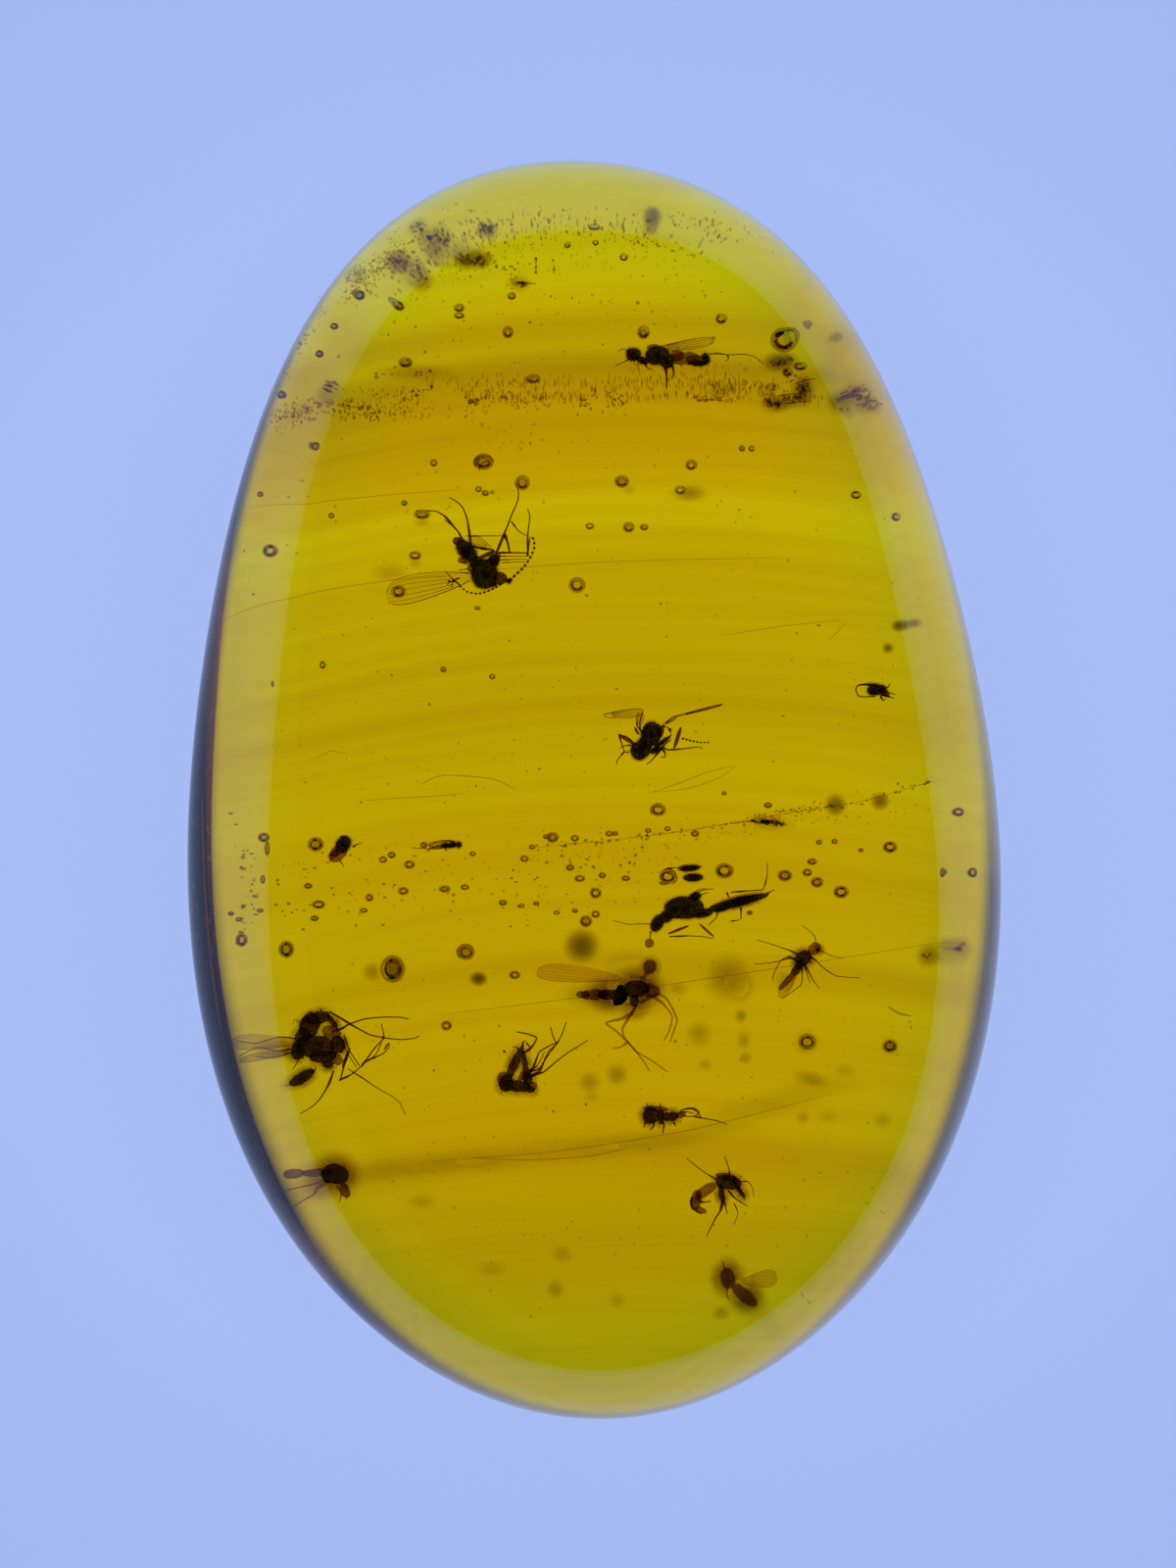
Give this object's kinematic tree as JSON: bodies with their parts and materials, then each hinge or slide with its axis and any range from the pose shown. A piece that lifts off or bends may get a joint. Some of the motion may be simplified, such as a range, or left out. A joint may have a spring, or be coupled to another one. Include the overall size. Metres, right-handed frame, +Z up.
{
  "type": "insects in amber",
  "caption": "Polished egg-shaped piece of clear golden amber with tiny insects and dark crumbs sealed inside, lying on its flat back.",
  "frame": {"origin": "middle of the stone's footprint, on the surface it lies on", "axes": "+Y along the stone's length toward its thinner end, +Z up through its thickness, out of the domed face"},
  "size_m": [0.0206, 0.032, 0.0062],
  "materials": {
    "amber": "clear golden amber, polished",
    "insect": "dark brown to black chitin",
    "debris": "dark brown bark dust and crumbs"
  },
  "bodies": {
    "root": {"upper_amber": "amber", "lower_amber": "amber", "large_midge": "insect", "wasp": "insect", "long_bodied_fly": "insect", "beetle_fragment": "insect", "round_fly": "insect", "slender_midge": "insect", "rove_beetle": "insect", "spread_midge": "insect", "long_legged_midge": "insect", "big_fly": "insect", "loose_abdomen": "insect", "folded_midge": "insect", "edge_gnat": "insect", "broken_gnat": "insect", "curled_gnat": "insect", "winged_gnat": "insect", "brown_pair": "insect", "bar_debris": "debris", "smear_debris": "debris", "edge_debris": "debris", "left_crumb": "debris", "upper_crumb": "debris", "bar_crumb": "debris", "dark_crumb": "debris", "flake": "debris", "dark_lens": "debris"}
  },
  "joints": []
}
